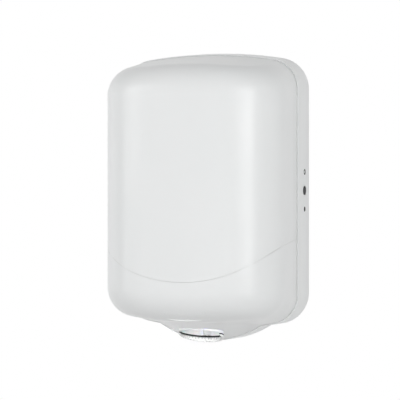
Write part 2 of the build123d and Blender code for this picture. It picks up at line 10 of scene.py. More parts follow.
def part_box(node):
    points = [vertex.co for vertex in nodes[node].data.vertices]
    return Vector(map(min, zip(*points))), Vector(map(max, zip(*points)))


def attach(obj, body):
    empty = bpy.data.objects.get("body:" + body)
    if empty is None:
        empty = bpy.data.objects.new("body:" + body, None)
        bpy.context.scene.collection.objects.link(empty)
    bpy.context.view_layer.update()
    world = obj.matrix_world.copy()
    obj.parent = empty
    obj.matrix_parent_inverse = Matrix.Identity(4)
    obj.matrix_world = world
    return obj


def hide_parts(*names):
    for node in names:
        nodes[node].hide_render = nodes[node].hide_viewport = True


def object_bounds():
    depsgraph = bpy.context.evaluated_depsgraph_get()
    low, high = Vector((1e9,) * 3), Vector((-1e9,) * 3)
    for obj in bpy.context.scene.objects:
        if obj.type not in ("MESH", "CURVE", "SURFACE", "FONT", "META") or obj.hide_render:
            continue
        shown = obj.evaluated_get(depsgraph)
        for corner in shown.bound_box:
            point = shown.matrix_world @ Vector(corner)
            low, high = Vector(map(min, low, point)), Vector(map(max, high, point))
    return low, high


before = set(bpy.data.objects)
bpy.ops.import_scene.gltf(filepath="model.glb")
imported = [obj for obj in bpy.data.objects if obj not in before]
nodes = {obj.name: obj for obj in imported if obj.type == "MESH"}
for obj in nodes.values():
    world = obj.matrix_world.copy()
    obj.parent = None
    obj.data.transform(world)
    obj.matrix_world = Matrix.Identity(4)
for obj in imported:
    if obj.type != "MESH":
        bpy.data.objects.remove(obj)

bl_info = {
    "name": "Roll towel dispenser",
    "version": (1, 0, 0),
    "blender": (4, 5, 0),
    "location": "3D View > Sidebar > Dispenser",
    "description": "Finishes a wall-mounted centre-pull roll towel dispenser and its studio",
    "category": "Object",
}

cad_low, cad_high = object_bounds()
millimetre = 0.001


# Colours
def linear(hex_colour):
    """sRGB hex to linear colour with full alpha."""
    parts = [int(hex_colour[k:k + 2], 16) / 255 for k in (0, 2, 4)]
    return (*(c / 12.92 if c <= 0.04045 else ((c + 0.055) / 1.055) ** 2.4 for c in parts), 1.0)


def colour_property(name, description, hex_colour):
    """Colour setting with its default written as sRGB hex."""
    return bpy.props.FloatVectorProperty(
        name=name, description=description, subtype="COLOR", size=4, min=0.0, max=1.0,
        default=linear(hex_colour),
    )


def length_property(name, description, millimetres):
    """Length setting with its default written in millimetres."""
    return bpy.props.FloatProperty(
        name=name, description=description, unit="LENGTH", subtype="DISTANCE",
        default=millimetres * millimetre, precision=5,
    )


def angle_property(name, description, turn):
    """Angle setting with its default written in degrees."""
    return bpy.props.FloatProperty(
        name=name, description=description, subtype="ANGLE", unit="ROTATION", default=radians(turn),
    )


def power_property(name, description, watts):
    """Lamp power setting."""
    return bpy.props.FloatProperty(
        name=name, description=description, subtype="POWER", default=watts, min=0.0,
    )


class FinishColours(bpy.types.PropertyGroup):
    """Colours of the plastics and metals."""
    cover: colour_property("Cover", "Moulded cover and back housing", "EBECEC")
    cover_shade: colour_property(
        "Cover shade", "Faint cooler cloud in the cover's plastic", "E8EAEA",
    )
    funnel: colour_property("Funnel", "Paper funnel inside the dome", "FAFBFB")
    tear_ring: colour_property("Tear ring", "Notched ring under the dome", "FAFBFA")
    # Painted shade: this grey is laid by ambient occlusion into the narrow corners between the
    # tearing ribs
    painted_shade: colour_property("Painted_rib_shade", "Paper lint and shade between the tearing ribs", "6A6D6E")
    grip_ring: colour_property("Grip ring", "Soft black ring that holds the paper", "101112")
    shelf: colour_property("Shelf", "Plate that the roll stands on", "C9CCCD")
    zinc: colour_property("Zinc plate", "Screws, brackets and hinge pins", "B9BCBE")
    lock: colour_property("Lock case", "Blackened case, nut and cam of the lock", "151617")
    barrel: colour_property("Lock barrel", "Worn face of the lock's barrel", "36383A")
    ink: colour_property("Ink", "Printed marks beside the lock", "0C0D0E")


class DetailSizes(bpy.types.PropertyGroup):
    """Sizes and places of the screw threads, the tearing ribs and the printed marks."""
    thread_pitch: length_property("Thread pitch", "Rise of one turn of a screw's thread", 1.1)
    outlet_reach: length_property("Outlet reach", "From the wall to the outlet's middle", 93.0)
    outlet_drop: length_property("Outlet drop", "From the lock down to the outlet's middle", 188.7)
    outlet_tilt: angle_property("Outlet tilt", "Lean of the outlet's axis to the wall", 14.5)
    rib_pitch: angle_property("Rib pitch", "Turn from one tearing rib to the next", 9.0)
    rib_sweep: angle_property("Rib sweep", "Turn from the back of the ring to its last rib", 90.0)
    rib_width: length_property("Rib width", "Width of one tearing rib", 1.5)
    rib_height: length_property("Rib height", "How far a tearing rib stands out", 0.9)
    rib_clearance: length_property("Rib clearance", "From a rib to the ring's edges", 0.25)
    mark_spacing: length_property("Mark spacing", "From the lock to each printed mark", 25.0)
    mark_radius: length_property("Open mark radius", "Outer radius of the open mark", 4.0)
    mark_line: length_property("Open mark line", "Line width of the open mark", 2.1)
    dot_radius: length_property("Closed mark radius", "Radius of the closed mark", 3.4)
    ink_thickness: length_property("Ink thickness", "Height of the printed ink", 0.08)


class StageSettings(bpy.types.PropertyGroup):
    """Camera, floor and lamps."""
    camera_turn: angle_property("Camera turn", "Turn of the camera to the object's right", 16.78)
    camera_x: length_property("Camera X", "Camera's place to the right", 662.0)
    camera_y: length_property("Camera Y", "Camera's place in front", -2294.1)
    camera_z: length_property("Camera Z", "Camera's height above the lock", 67.3)
    camera_lens: bpy.props.FloatProperty(
        name="Lens", description="Focal length on a 36 mm sensor", subtype="DISTANCE_CAMERA",
        default=155.94,
    )
    frame_rise: bpy.props.FloatProperty(
        name="Frame shift", description="Vertical shift of the frame in frame widths",
        default=-0.14875,
    )
    floor_drop: length_property("Floor drop", "Floor below the lock", 420.0)
    floor_size: length_property("Floor size", "Side of the square floor", 12000.0)
    floor_colour: colour_property("Floor colour", "Pale plain floor", "EFEFEF")
    right_power: power_property("Right lamp", "Tall soft box at the front right", 17.6)
    near_right_power: power_property("Near right lamp", "Narrow soft box by the camera", 4.7)
    left_power: power_property("Left lamp", "Tall soft box at the front left", 9.0)
    far_left_power: power_property("Far left lamp", "Tall narrow soft box further left", 6.5)
    low_power: power_property("Low lamp", "Wide soft box below the camera", 8.4)
    low_left_power: power_property("Low left lamp", "Flat soft box at the lower left", 1.8)
    under_power: power_property("Under lamp", "Small soft box under the front", 1.7)
    side_power: power_property("Side lamp", "Large soft box at the left side", 3.7)
    outlet_power: power_property(
        "Outlet lamp", "Small gridded box that looks into the outlet", 0.0065,
    )
    sky_strength: bpy.props.FloatProperty(
        name="Sky strength", description="Even light from all round", default=0.29,
    )


# Materials
def add_node(tree, kind, inputs=None, **settings):
    """Add a node with its settings; inputs are values or output sockets."""
    node = tree.nodes.new(kind)
    for name, value in settings.items():
        setattr(node, name, value)
    for socket, source in (inputs or {}).items():
        if isinstance(source, bpy.types.NodeSocket):
            tree.links.new(source, node.inputs[socket])
        else:
            node.inputs[socket].default_value = source
    return node


# Sizes and strengths of the patterns that all materials of one kind share
tint_cloud = 70 * millimetre  # clouds of tint and gloss in moulded plastic
painted_shade_reach = 4 * millimetre  # corners narrower than this get painted shade
milky_depth = 2 * millimetre  # how far light enters a translucent plastic
plating_cloud = 5 * millimetre  # clouds of gloss in zinc plate
drawn_out = 0.04  # a rolled line's width for its length
plastic_change, plating_change, coat_change = 0.03, 0.07, 0.1  # of roughness, over a cloud
grain_relief, streak_relief, patch_relief = 0.04, 0.05, 0.03  # height for width


def new_material(name):
    """Empty node material and its tree."""
    material = bpy.data.materials.new(name)
    material.use_nodes = True
    material.node_tree.nodes.clear()
    return material, material.node_tree


def dress(node_name, material):
    """Give a carried CAD node its finish."""
    slots = nodes[node_name].data.materials
    slots.clear()
    slots.append(material)


def moulded_plastic(name, colour, roughness, wave, wave_depth, grain, rounding,
                    glow=0.0, shade=None, painted_shade=None):
    """Injection-moulded plastic with a soft wave, fine grain and eased edges.

    Lengths are in millimetres. Faint clouds of a second tint lie in the colour, and painted shade
    darkens its narrow corners.
    """
    material, tree = new_material(name)
    place = add_node(tree, "ShaderNodeTexCoord").outputs["Object"]
    cloud = add_node(tree, "ShaderNodeTexNoise", {
        "Vector": place, "Scale": 1 / tint_cloud, "Detail": 2.0,
    }).outputs["Fac"]
    if shade is not None:
        colour = add_node(tree, "ShaderNodeMix", {
            "Factor": cloud, "A": colour, "B": shade,
        }, data_type="RGBA").outputs["Result"]
    if painted_shade is not None:
        # Painted shade: ambient occlusion darkens narrow corners towards this colour
        corners = add_node(tree, "ShaderNodeAmbientOcclusion", {"Distance": painted_shade_reach}, samples=8)
        unshaded = add_node(tree, "ShaderNodeMapRange", {
            "Value": corners.outputs["AO"], "From Min": 0.5, "From Max": 0.9,
        })
        colour = add_node(tree, "ShaderNodeMix", {
            "Factor": unshaded.outputs["Result"], "A": painted_shade, "B": colour,
        }, data_type="RGBA").outputs["Result"]
    swell = add_node(tree, "ShaderNodeTexNoise", {
        "Vector": place, "Scale": 1 / (wave * millimetre), "Detail": 1.0,
    }).outputs["Fac"]
    fine = add_node(tree, "ShaderNodeTexNoise", {
        "Vector": place, "Scale": 1 / (grain * millimetre), "Detail": 3.0, "Roughness": 0.6,
    }).outputs["Fac"]
    gloss = add_node(tree, "ShaderNodeMapRange", {
        "Value": cloud, "From Min": 0.35, "From Max": 0.65,
        "To Min": roughness - plastic_change, "To Max": roughness + plastic_change,
    })
    eased = add_node(tree, "ShaderNodeBevel", {"Radius": rounding * millimetre}, samples=4)
    waved = add_node(tree, "ShaderNodeBump", {
        "Height": swell, "Strength": 1.0, "Distance": wave_depth * millimetre,
        "Normal": eased.outputs["Normal"],
    })
    grained = add_node(tree, "ShaderNodeBump", {
        "Height": fine, "Strength": 0.25, "Distance": grain * millimetre * grain_relief,
        "Normal": waved.outputs["Normal"],
    })
    shader = add_node(tree, "ShaderNodeBsdfPrincipled", {
        "Base Color": colour, "Roughness": gloss.outputs["Result"],
        "Normal": grained.outputs["Normal"], "IOR": 1.5, "Subsurface Weight": glow,
        "Subsurface Scale": milky_depth,
    })
    add_node(tree, "ShaderNodeOutputMaterial", {"Surface": shader.outputs["BSDF"]})
    return material


def plated_metal(name, colour, roughness, streak, rounding):
    """Plated sheet or wire: cloudy gloss and faint rolled lines, with lengths in millimetres."""
    material, tree = new_material(name)
    place = add_node(tree, "ShaderNodeTexCoord").outputs["Object"]
    cloud = add_node(tree, "ShaderNodeTexNoise", {
        "Vector": place, "Scale": 1 / plating_cloud, "Detail": 4.0,
    }).outputs["Fac"]
    drawn = add_node(tree, "ShaderNodeMapping", {"Vector": place, "Scale": (1.0, drawn_out, 1.0)})
    line = add_node(tree, "ShaderNodeTexNoise", {
        "Vector": drawn.outputs["Vector"], "Scale": 1 / (streak * millimetre), "Detail": 2.0,
    }).outputs["Fac"]
    gloss = add_node(tree, "ShaderNodeMapRange", {
        "Value": cloud, "From Min": 0.3, "From Max": 0.7,
        "To Min": roughness - plating_change, "To Max": roughness + plating_change,
    })
    eased = add_node(tree, "ShaderNodeBevel", {"Radius": rounding * millimetre}, samples=4)
    lined = add_node(tree, "ShaderNodeBump", {
        "Height": line, "Strength": 0.3, "Distance": streak * millimetre * streak_relief,
        "Normal": eased.outputs["Normal"],
    })
    shader = add_node(tree, "ShaderNodeBsdfPrincipled", {
        "Base Color": colour, "Roughness": gloss.outputs["Result"], "Metallic": 1.0,
        "Normal": lined.outputs["Normal"],
    })
    add_node(tree, "ShaderNodeOutputMaterial", {"Surface": shader.outputs["BSDF"]})
    return material


def matt_coat(name, colour, roughness, patch):
    """Thin coat of matt ink or lacquer: dark, low in gloss and a little uneven.

    The size of its patches is in millimetres.
    """
    material, tree = new_material(name)
    place = add_node(tree, "ShaderNodeTexCoord").outputs["Object"]
    lump = add_node(tree, "ShaderNodeTexNoise", {
        "Vector": place, "Scale": 1 / (patch * millimetre), "Detail": 2.0,
    }).outputs["Fac"]
    gloss = add_node(tree, "ShaderNodeMapRange", {
        "Value": lump, "To Min": roughness - coat_change, "To Max": roughness + coat_change,
    })
    uneven = add_node(tree, "ShaderNodeBump", {
        "Height": lump, "Strength": 0.3, "Distance": patch * millimetre * patch_relief,
    })
    shader = add_node(tree, "ShaderNodeBsdfPrincipled", {
        "Base Color": colour, "Roughness": gloss.outputs["Result"], "Specular IOR Level": 0.2,
        "Normal": uneven.outputs["Normal"],
    })
    add_node(tree, "ShaderNodeOutputMaterial", {"Surface": shader.outputs["BSDF"]})
    return material


# Meshes
def add_piece(name, mesh, material, body):
    """Link a finished mesh as a piece that rides on a body."""
    mesh.materials.clear()
    mesh.materials.append(material)
    piece = bpy.data.objects.new(name, mesh)
    bpy.context.scene.collection.objects.link(piece)
    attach(piece, body)
    return piece


def carry(name, points, tree, values, columns):
    """Loose points under a node tree, made into a plain mesh.

    values go into the tree by input name, and columns give each point its named attributes.
    """
    base = bpy.data.meshes.new(name + " points")
    base.from_pydata(points, [], [])
    for label, column in columns.items():
        column = np.array(column)
        kind, field = ("FLOAT", "value") if column.ndim == 1 else ("FLOAT_VECTOR", "vector")
        base.attributes.new(label, kind, "POINT").data.foreach_set(field, column.ravel())
    carrier = bpy.data.objects.new(name + " points", base)
    bpy.context.scene.collection.objects.link(carrier)
    modifier = carrier.modifiers.new("Made", "NODES")
    modifier.node_group = tree
    for item in tree.interface.items_tree:
        if item.name in values:
            modifier[item.identifier] = values[item.name]
    bpy.context.view_layer.update()
    evaluated = carrier.evaluated_get(bpy.context.evaluated_depsgraph_get())
    mesh = bpy.data.meshes.new_from_object(evaluated)
    mesh.name = name
    bpy.data.objects.remove(carrier)
    return mesh


def new_tree(name, sizes):
    """Geometry node tree that takes points, sizes and a material, and its inputs by name."""
    tree = bpy.data.node_groups.new(name, "GeometryNodeTree")
    for label, side, kind in (
        ("Geometry", "INPUT", "Geometry"), *((size, "INPUT", "Float") for size in sizes),
        ("Material", "INPUT", "Material"), ("Geometry", "OUTPUT", "Geometry"),
    ):
        tree.interface.new_socket(label, in_out=side, socket_type="NodeSocket" + kind)
    return tree, dict(add_node(tree, "NodeGroupInput").outputs.items())


def raised(tree, shape, height):
    """A shape inside a node tree, moved up by a height."""
    rise = add_node(tree, "ShaderNodeCombineXYZ", {"Z": height})
    return add_node(tree, "GeometryNodeTransform", {
        "Geometry": shape, "Translation": rise.outputs["Vector"],
    }).outputs["Geometry"]


def set_out(tree, given, shape, placing):
    """End a node tree: the shape on every point, made real and given its material."""
    placed = add_node(tree, "GeometryNodeInstanceOnPoints", {
        "Points": given["Geometry"], "Instance": shape, **placing,
    })
    real = add_node(tree, "GeometryNodeRealizeInstances", {"Geometry": placed.outputs["Instances"]})
    finished = add_node(tree, "GeometryNodeSetMaterial", {
        "Geometry": real.outputs["Geometry"], "Material": given["Material"],
    })
    add_node(tree, "NodeGroupOutput", {"Geometry": finished.outputs["Geometry"]})
    return tree


def islands(mesh):
    """Corner sets of a mesh's separate solids, with doubled corners merged."""
    work = bmesh.new()
    work.from_mesh(mesh)
    bmesh.ops.remove_doubles(work, verts=work.verts, dist=0.001 * millimetre)
    seen = set()
    groups = []
    for vertex in work.verts:
        if vertex in seen:
            continue
        seen.add(vertex)
        stack = [vertex]
        group = []
        while stack:
            here = stack.pop()
            group.append(tuple(here.co))
            for edge in here.link_edges:
                other = edge.other_vert(here)
                if other not in seen:
                    seen.add(other)
                    stack.append(other)
        groups.append(np.array(group))
    work.free()
    return groups


def screw_place(corners):
    """Top of a screw's head, the way its shank runs, its length and its two radii."""
    middle = corners.mean(axis=0)
    spread = np.linalg.eigh(np.cov((corners - middle).T))[1]
    along = spread[:, -1]
    reach = (corners - middle) @ along
    length = reach.max() - reach.min()
    away = np.linalg.norm(corners - middle - np.outer(reach, along), axis=1)
    near = away[reach < reach.min() + length / 4].max()
    far = away[reach > reach.max() - length / 4].max()
    # The head is the wider end
    if far > near:
        along, reach, near, far = -along, -reach, far, near
    return middle + along * reach.min(), along, length, near, far


def screw_tree():
    """Pan head with a cross recess over a threaded shank, one for each point."""
    tree, size = new_tree("Threaded screw", (
        "Head radius", "Head height", "Shank radius", "Length", "Thread pitch",
    ))
    # Each further size comes from two before it, or from one and a ratio
    for label, operation, first, second in (
        ("Squash", "DIVIDE", "Head height", "Head radius"),
        ("Seat radius", "MULTIPLY", "Head radius", 1.1),
        ("Seat rise", "MULTIPLY", "Head height", 0.5),
        ("Bar length", "MULTIPLY", "Head radius", 1.15),
        ("Bar width", "MULTIPLY", "Head radius", 0.26),
        ("Shank length", "SUBTRACT", "Length", "Head height"),
        ("Core radius", "MULTIPLY", "Shank radius", 0.78),
        ("Core rise", "MULTIPLY", "Shank length", -0.5),
        ("Ridge radius", "MULTIPLY", "Shank radius", 0.2),
        ("Thread length", "SUBTRACT", "Shank length", "Thread pitch"),
        ("Thread turns", "DIVIDE", "Thread length", "Thread pitch"),
        ("Thread tip", "MULTIPLY", "Thread pitch", 0.4),
        ("Thread rise", "SUBTRACT", "Thread tip", "Shank length"),
        ("Head sink", "MULTIPLY", "Head height", -1.0),
    ):
        size[label] = add_node(tree, "ShaderNodeMath", {
            0: size.get(first, first), 1: size.get(second, second),
        }, operation=operation).outputs[0]

    # The head is a low dome: a squashed ball kept to its upper half
    ball = add_node(tree, "GeometryNodeMeshUVSphere", {
        "Segments": 28, "Rings": 16, "Radius": size["Head radius"],
    })
    squash = add_node(tree, "ShaderNodeCombineXYZ", {"X": 1.0, "Y": 1.0, "Z": size["Squash"]})
    squashed = add_node(tree, "GeometryNodeTransform", {
        "Geometry": ball.outputs["Mesh"], "Scale": squash.outputs["Vector"],
    })
    seat = add_node(tree, "GeometryNodeMeshCylinder", {
        "Vertices": 28, "Radius": size["Seat radius"], "Depth": size["Head height"],
    })
    dome = add_node(tree, "GeometryNodeMeshBoolean", operation="INTERSECT")
    tree.links.new(squashed.outputs["Geometry"], dome.inputs["Mesh 2"])
    tree.links.new(raised(tree, seat.outputs["Mesh"], size["Seat rise"]), dome.inputs["Mesh 2"])

    # Two crossed bars cut the recess
    head = dome.outputs["Mesh"]
    for across, deep in (("Bar length", "Bar width"), ("Bar width", "Bar length")):
        extent = add_node(tree, "ShaderNodeCombineXYZ", {
            "X": size[across], "Y": size[deep], "Z": size["Head height"],
        })
        bar = add_node(tree, "GeometryNodeMeshCube", {"Size": extent.outputs["Vector"]})
        head = add_node(tree, "GeometryNodeMeshBoolean", {
            "Mesh 1": head, "Mesh 2": raised(tree, bar.outputs["Mesh"], size["Head height"]),
        }, operation="DIFFERENCE").outputs["Mesh"]

    # A three-sided ridge winds round the core as the thread
    core = add_node(tree, "GeometryNodeMeshCylinder", {
        "Vertices": 20, "Radius": size["Core radius"], "Depth": size["Shank length"],
    })
    spiral = add_node(tree, "GeometryNodeCurveSpiral", {
        "Resolution": 16, "Rotations": size["Thread turns"], "Height": size["Thread length"],
        "Start Radius": size["Core radius"], "End Radius": size["Core radius"],
    })
    ridge = add_node(tree, "GeometryNodeCurvePrimitiveCircle", {
        "Resolution": 3, "Radius": size["Ridge radius"],
    }, mode="RADIUS")
    thread = add_node(tree, "GeometryNodeCurveToMesh", {
        "Curve": spiral.outputs["Curve"], "Profile Curve": ridge.outputs["Curve"],
        "Fill Caps": True,
    })
    whole = add_node(tree, "GeometryNodeJoinGeometry")
    for part in (
        head, raised(tree, core.outputs["Mesh"], size["Core rise"]),
        raised(tree, thread.outputs["Mesh"], size["Thread rise"]),
    ):
        tree.links.new(part, whole.inputs["Geometry"])
    topped = raised(tree, whole.outputs["Geometry"], size["Head sink"])

    # The shank runs down the shape's own Z, so Z turns against the way that the point gives
    along = add_node(tree, "GeometryNodeInputNamedAttribute", {"Name": "along"},
                     data_type="FLOAT_VECTOR")
    upward = add_node(tree, "ShaderNodeVectorMath", {0: along.outputs["Attribute"], 3: -1.0},
                      operation="SCALE")
    turn = add_node(tree, "FunctionNodeAlignRotationToVector", {
        "Vector": upward.outputs["Vector"],
    }, axis="Z")
    return set_out(tree, size, topped, {"Rotation": turn.outputs["Rotation"]})


def rib_tree():
    """Three-sided ribs, one for each point: the point gives its depth and which way it faces."""
    tree, given = new_tree("Tearing ribs", ("Width", "Height"))
    depth, turned = (
        add_node(tree, "GeometryNodeInputNamedAttribute", {"Name": label}, data_type="FLOAT")
        for label in ("depth", "turned")
    )
    extent = add_node(tree, "ShaderNodeCombineXYZ", {
        "X": given["Width"], "Y": given["Height"], "Z": depth.outputs["Attribute"],
    })
    # A cone with three corners is a prism that thins upwards; one corner points along -Y
    prism = add_node(tree, "GeometryNodeMeshCone", {
        "Vertices": 3, "Radius Top": 0.5, "Radius Bottom": 0.66, "Depth": 1.0,
    })
    spun = add_node(tree, "GeometryNodeTransform", {
        "Geometry": prism.outputs["Mesh"], "Rotation": (0.0, 0.0, -pi / 2),
    })
    turn = add_node(tree, "ShaderNodeCombineXYZ", {"Z": turned.outputs["Attribute"]})
    return set_out(tree, given, spun.outputs["Geometry"], {
        "Rotation": turn.outputs["Vector"], "Scale": extent.outputs["Vector"],
    })


def disc_mesh(name, outer, inner, thickness):
    """Flat ring or disc with a rounded upper edge, lying on z = 0."""
    work = bmesh.new()
    steps = 48
    shoulder, easing = 0.6 * thickness, 0.4 * thickness
    profile = [(outer, 0.0), (outer, shoulder), (outer - easing, thickness)]
    if inner > 0:
        profile += [(inner + easing, thickness), (inner, shoulder), (inner, 0.0)]
    rings = []
    for k in range(steps):
        turn = 2 * pi * k / steps
        rings.append([work.verts.new((r * cos(turn), r * sin(turn), h)) for r, h in profile])
    for k in range(steps):
        here, after = rings[k], rings[(k + 1) % steps]
        for j in range(len(profile) - 1):
            work.faces.new((here[j], after[j], after[j + 1], here[j + 1]))
        if inner > 0:
            work.faces.new((here[-1], after[-1], after[0], here[0]))
    if inner == 0:
        work.faces.new([ring[-1] for ring in rings])
        work.faces.new([ring[0] for ring in reversed(rings)])
    bmesh.ops.recalc_face_normals(work, faces=work.faces)
    mesh = bpy.data.meshes.new(name)
    work.to_mesh(mesh)
    work.free()
    return mesh


class DISPENSER_OT_covers(bpy.types.Operator):
    """Finish the covers and the back housing in white moulded plastic"""
    bl_idname = "dispenser.covers"
    bl_label = "Covers and housing"

    def execute(self, context):
        colours = context.scene.dispenser_colours
        # ABS from a polished mould: soft gloss, a faint wave 9 mm long and 0.4 mm fine grain
        white = moulded_plastic(
            "Moulded white ABS", colours.cover, roughness=0.31, wave=9, wave_depth=0.012,
            grain=0.4, rounding=0.2, shade=colours.cover_shade,
        )
        for name in ("upper_cover", "lower_cover", "back_housing"):
            dress(name, white)
        return {"FINISHED"}


class DISPENSER_OT_outlet(bpy.types.Operator):
    """Finish the funnel and the two half rings, and add the tearing ribs"""
    bl_idname = "dispenser.outlet"
    bl_label = "Paper outlet"

    def execute(self, context):
        colours = context.scene.dispenser_colours
        # Polypropylene: waxy and a little translucent
        dress("outlet_funnel", moulded_plastic(
            "Moulded white polypropylene", colours.funnel, roughness=0.33, wave=7,
            wave_depth=0.01, grain=0.5, rounding=0.3, glow=0.1,
        ))
        # Thermoplastic rubber: black, matt and finely pitted
        dress("grip_ring", moulded_plastic(
            "Moulded black rubber", colours.grip_ring, roughness=0.6, wave=3,
            wave_depth=0.01, grain=0.35, rounding=0.2,
        ))
        # Nylon: white and slightly duller than the cover, with painted grey shade between its ribs
        nylon = moulded_plastic(
            "Moulded white nylon", colours.tear_ring, roughness=0.42, wave=5,
            wave_depth=0.01, grain=0.3, rounding=0.15, painted_shade=colours.painted_shade,
        )
        dress("tear_ring", nylon)
        self.add_ribs(context.scene.dispenser_details, nylon)
        return {"FINISHED"}

    def add_ribs(self, sizes, nylon):
        """Set tearing ribs round the ring's inner wall, each as deep as the ring is there."""
        middle = Matrix.Translation((0.0, -sizes.outlet_reach, -sizes.outlet_drop))
        outlet = middle @ Matrix.Rotation(-sizes.outlet_tilt, 4, "X")
        back = outlet.inverted()
        ring = np.array([tuple(back @ v.co) for v in nodes["tear_ring"].data.vertices])
        bore = np.hypot(ring[:, 0], ring[:, 1]).min()
        top = ring[:, 2].max() - sizes.rib_clearance
        # The ring's underside is a slanted plane through its lowest corner and its ends
        low = ring[ring[:, 2].argmin()]
        ends = ring[ring[:, 1] < ring[:, 1].min() + millimetre]
        end = ends[ends[:, 2].argmin()]
        slope = (low[2] - end[2]) / (low[1] - end[1])
        points, depths, turns = [], [], []
        steps = int(sizes.rib_sweep / sizes.rib_pitch)
        for k in range(-steps, steps + 1):
            turn = (k + 0.5) * sizes.rib_pitch
            if abs(turn) > sizes.rib_sweep:
                continue
            x, y = bore * sin(turn), bore * cos(turn)
            bottom = end[2] + slope * (y - end[1]) + sizes.rib_clearance
            points.append((x, y, (top + bottom) / 2))
            depths.append(top - bottom)
            turns.append(-turn)
        mesh = carry("tearing_ribs", points, rib_tree(), {
            "Width": sizes.rib_width, "Height": sizes.rib_height, "Material": nylon,
        }, {"depth": depths, "turned": turns})
        mesh.transform(outlet)
        add_piece("tearing_ribs", mesh, nylon, "cover")


class DISPENSER_OT_inside(bpy.types.Operator):
    """Finish the roll shelf, its brackets, the strike and the hinge pins"""
    bl_idname = "dispenser.inside"
    bl_label = "Shelf, brackets and pins"

    def execute(self, context):
        colours = context.scene.dispenser_colours
        # Polypropylene from an eroded mould: satin with 0.8 mm grain
        dress("roll_shelf", moulded_plastic(
            "Moulded grey polypropylene", colours.shelf, roughness=0.45, wave=12,
            wave_depth=0.01, grain=0.8, rounding=0.4,
        ))
        # Bright zinc plate on rolled strip: cloudy with rolling lines 0.4 mm apart
        strip = plated_metal("Zinc plated steel strip", colours.zinc, roughness=0.3,
                             streak=0.4, rounding=0.2)
        for name in ("left_shelf_bracket", "right_shelf_bracket", "strike_plate", "lock_washer"):
            dress(name, strip)
        # Bright drawn wire: finer lines than the strip
        dress("hinge_pins", plated_metal("Drawn steel wire", colours.zinc, roughness=0.24,
                                         streak=0.2, rounding=0.15))
        return {"FINISHED"}


class DISPENSER_OT_screws(bpy.types.Operator):
    """Add threaded screws in place of the plain ones"""
    bl_idname = "dispenser.screws"
    bl_label = "Screws"
    pan_height = 0.6  # height of a pan head for its radius
    coarsest_pitch = 0.7  # rise of a thread for its shank's radius

    def execute(self, context):
        colours = context.scene.dispenser_colours
        sizes = context.scene.dispenser_details
        # Zinc plate over a cold-formed head: bright and cloudy
        plate = plated_metal("Zinc plated screw steel", colours.zinc, roughness=0.27,
                             streak=0.3, rounding=0.1)
        tree = screw_tree()
        for node, body in (
            ("cover_screws", "cover"), ("outlet_screws", "cover"), ("strike_screws", "cover"),
            ("bracket_screws", "housing"), ("shelf_screws", "housing"), ("cam_screw", "lock"),
        ):
            # Alike screws share a node, so the first one's sizes hold for all of them
            tops, ways, lengths, heads, shanks = zip(*(
                screw_place(corners) for corners in islands(nodes[node].data)
            ))
            mesh = carry(node + "_threaded", tops, tree, {
                "Head radius": heads[0], "Head height": heads[0] * self.pan_height,
                "Shank radius": shanks[0], "Length": lengths[0],
                "Thread pitch": min(sizes.thread_pitch, shanks[0] * self.coarsest_pitch),
                "Material": plate,
            }, {"along": ways})
            piece = add_piece(node + "_threaded", mesh, plate, body)
            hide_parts(node)
        return {"FINISHED"}


class DISPENSER_OT_lock(bpy.types.Operator):
    """Finish the key lock and print its two marks on the housing"""
    bl_idname = "dispenser.lock"
    bl_label = "Key lock"

    def execute(self, context):
        colours = context.scene.dispenser_colours
        sizes = context.scene.dispenser_details
        # Die-cast zinc under matt black lacquer: near black from every side
        dress("lock_case", matt_coat("Black lacquered zinc", colours.lock,
                                     roughness=0.5, patch=0.5))
        # The barrel's face is worn by keys, so it is a shade lighter than the case
        dress("lock_barrel", matt_coat("Worn lacquered zinc", colours.barrel,
                                       roughness=0.45, patch=0.3))
        # The nut and cam inside are bare black plate: dark and softly shiny
        metal = plated_metal("Black plated zinc casting", colours.lock, roughness=0.4,
                             streak=0.3, rounding=0.2)
        for name in ("lock_nut", "lock_cam"):
            dress(name, metal)
        # Pad-printed ink: flat and matt, a little uneven where the pad lifted
        ink = matt_coat("Dark printed ink", colours.ink, roughness=0.6, patch=0.6)
        for name, height, outer, inner in (
            ("open_mark", sizes.mark_spacing, sizes.mark_radius,
             sizes.mark_radius - sizes.mark_line),
            ("closed_mark", -sizes.mark_spacing, sizes.dot_radius, 0.0),
        ):
            mesh = disc_mesh(name, outer, inner, sizes.ink_thickness)
            mesh.transform(self.mark_place(name, height))
            add_piece(name, mesh, ink, "housing")
        return {"FINISHED"}

    def mark_place(self, name, height):
        """Place and turn of a mark on the housing's side wall, as far back as the lock."""
        low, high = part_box("lock_barrel")
        wall = BVHTree.FromObject(nodes["back_housing"], bpy.context.evaluated_depsgraph_get())
        outside = Vector((cad_high.x * 2, (low.y + high.y) / 2, (low.z + high.z) / 2 + height))
        place, normal, _, _ = wall.ray_cast(outside, Vector((-1.0, 0.0, 0.0)))
        if place is None:
            raise RuntimeError("no housing wall under " + name)
        turn = normal.to_track_quat("Z", "Y").to_matrix().to_4x4()
        turn.translation = place
        return turn


